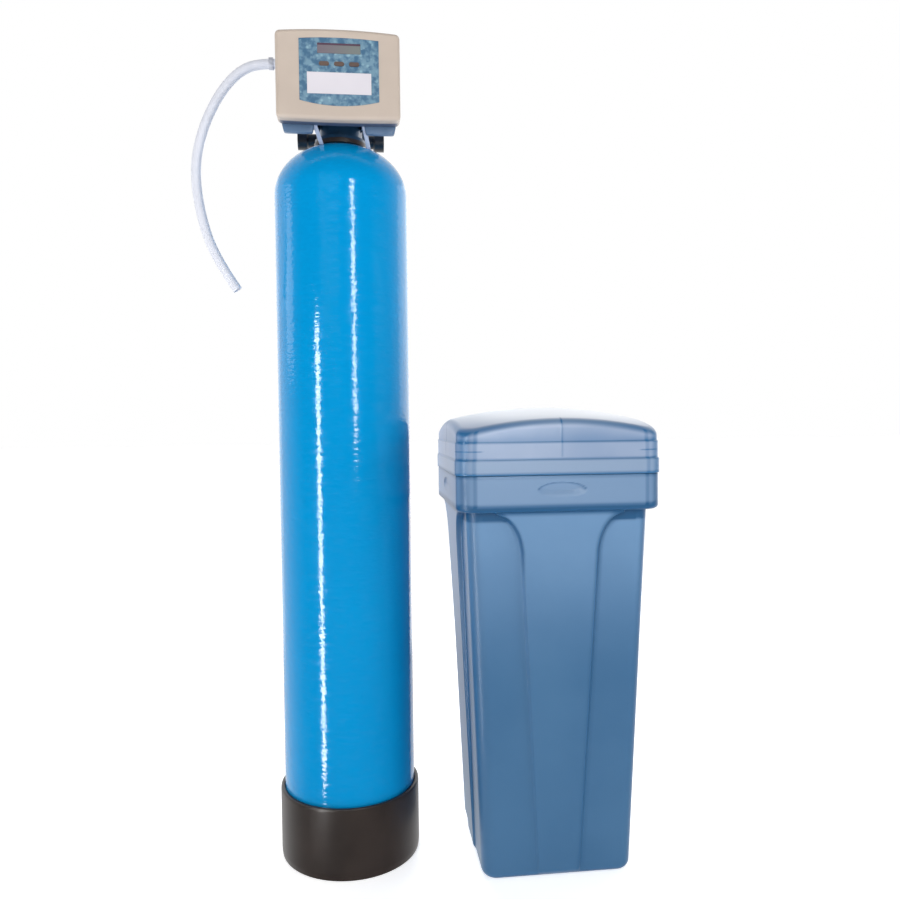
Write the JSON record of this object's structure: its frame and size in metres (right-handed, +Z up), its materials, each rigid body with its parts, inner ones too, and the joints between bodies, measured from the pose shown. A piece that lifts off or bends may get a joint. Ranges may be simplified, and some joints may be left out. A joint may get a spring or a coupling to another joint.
{
  "type": "water filter",
  "caption": "Tall blue pressure vessel with a timed control valve and drain hose, beside a square tapered salt tub with a domed lift-off lid.",
  "frame": {"origin": "on the floor, on the axis of the round pressure vessel", "axes": "+Z up along the vessel, -Y out of the control panel, +X towards the salt tub"},
  "size_m": [0.8551, 0.3829, 1.561],
  "materials": {
    "vessel_wrap": "glossy blue wound fibreglass",
    "boot_plastic": "black moulded plastic",
    "neck_plastic": "moulded liner plastic",
    "riser_plastic": "white pipe plastic",
    "basket_plastic": "white moulded plastic",
    "gravel": "washed gravel",
    "resin": "amber resin beads",
    "valve_plastic": "dark moulded valve plastic",
    "seal_rubber": "black rubber",
    "piston_plastic": "white acetal",
    "gear_plastic": "white acetal",
    "pin_steel": "steel",
    "motor_metal": "plated motor can",
    "bracket_plastic": "black moulded plastic",
    "board_green": "printed circuit board",
    "housing_plastic": "slate blue moulded plastic",
    "cover_plastic": "beige moulded plastic",
    "overlay_film": "printed blue overlay",
    "display_glass": "grey display window",
    "label_white": "bare white plate",
    "button_brown": "dark brown button",
    "fitting_black": "black moulded fitting",
    "hose_clear": "clear flexible hose",
    "clip_metal": "spring clip",
    "tub_plastic": "blue moulded polyethylene",
    "lid_plastic": "paler blue moulded polyethylene",
    "well_plastic": "white tube"
  },
  "bodies": {
    "base": {"vessel_shell": "vessel_wrap", "vessel_boot": "boot_plastic", "neck_ring": "neck_plastic", "riser_tube": "riser_plastic", "bottom_basket": "basket_plastic", "top_basket": "basket_plastic", "gravel_bed": "gravel", "resin_bed": "resin", "valve_body": "valve_plastic", "neck_seal": "seal_rubber", "chamber_cap": "valve_plastic", "seal_stack": "seal_rubber", "gear_axle": "pin_steel", "drive_motor": "motor_metal", "drive_bracket": "bracket_plastic", "display_module": "board_green", "circuit_board": "board_green", "rear_housing": "housing_plastic", "drain_elbow": "fitting_black", "brine_elbow": "fitting_black", "injector_cap": "valve_plastic", "hose_clip": "clip_metal", "drain_hose": "hose_clear", "inlet_elbow": "fitting_black", "outlet_elbow": "fitting_black", "salt_tub": "tub_plastic", "brine_well": "well_plastic", "brine_valve": "fitting_black", "pickup_tube": "well_plastic", "air_check": "well_plastic", "overflow_elbow": "fitting_black", "overflow_nut": "fitting_black"},
    "piston": {"main_piston": "piston_plastic"},
    "drive": {"drive_gear": "gear_plastic"},
    "reducer": {"reduction_gear": "gear_plastic"},
    "pinion": {"motor_pinion": "gear_plastic"},
    "cover": {"front_cover": "cover_plastic", "control_overlay": "overlay_film", "display_window": "display_glass", "label_plate": "label_white"},
    "left_button": {"button_left": "button_brown"},
    "middle_button": {"button_middle": "button_brown"},
    "right_button": {"button_right": "button_brown"},
    "inlet_union": {"inlet_nut": "fitting_black"},
    "outlet_union": {"outlet_nut": "fitting_black"},
    "lid": {"salt_lid": "lid_plastic"},
    "cap": {"well_cap": "well_plastic"},
    "float": {"float_rod": "well_plastic", "brine_float": "fitting_black"}
  },
  "joints": [
    {"name": "drive_spin", "type": "hinge", "parent": "base", "child": "drive", "pos_m": [0, -0.1, 1.46697], "axis": [0, 1, 0], "range_deg": [0, 540]},
    {"name": "reducer_spin", "type": "hinge", "parent": "base", "child": "reducer", "pos_m": [0.022, -0.1, 1.50507], "axis": [0, 1, 0], "range_deg": [-1620, 0]},
    {"name": "pinion_spin", "type": "hinge", "parent": "base", "child": "pinion", "pos_m": [0.049, -0.1, 1.50507], "axis": [0, 1, 0], "range_deg": [0, 4860]},
    {"name": "piston_slide", "type": "slide", "parent": "base", "child": "piston", "axis": [0, 1, 0], "range_m": [0, 0.036]},
    {"name": "cover_slide", "type": "slide", "parent": "base", "child": "cover", "axis": [0, -1, 0], "range_m": [0, 0.12]},
    {"name": "left_press", "type": "slide", "parent": "cover", "child": "left_button", "axis": [0, 1, 0], "range_m": [0, 0.0008], "stiffness_N_per_m": 600, "springref_m": -0.0008},
    {"name": "middle_press", "type": "slide", "parent": "cover", "child": "middle_button", "axis": [0, 1, 0], "range_m": [0, 0.0008], "stiffness_N_per_m": 600, "springref_m": -0.0008},
    {"name": "right_press", "type": "slide", "parent": "cover", "child": "right_button", "axis": [0, 1, 0], "range_m": [0, 0.0008], "stiffness_N_per_m": 600, "springref_m": -0.0008},
    {"name": "inlet_nut_spin", "type": "hinge", "parent": "base", "child": "inlet_union", "pos_m": [-0.08, 0.094, 1.43297], "axis": [-1, 0, 0], "continuous": true},
    {"name": "outlet_nut_spin", "type": "hinge", "parent": "base", "child": "outlet_union", "pos_m": [0.08, 0.094, 1.43297], "axis": [1, 0, 0], "continuous": true},
    {"name": "lid_lift", "type": "slide", "parent": "base", "child": "lid", "axis": [0, 0, 1], "range_m": [0, 0.15]},
    {"name": "cap_lift", "type": "slide", "parent": "base", "child": "cap", "axis": [0, 0, 1], "range_m": [0, 0.06]},
    {"name": "float_rise", "type": "slide", "parent": "base", "child": "float", "axis": [0, 0, 1], "range_m": [0, 0.04]}
  ],
  "couplings": [
    {"joint": "reducer_spin", "follows": "drive_spin", "ratio": -3},
    {"joint": "pinion_spin", "follows": "drive_spin", "ratio": 9},
    {"joint": "piston_slide", "follows": "drive_spin", "m_per_rad": 0.0038197}
  ]
}
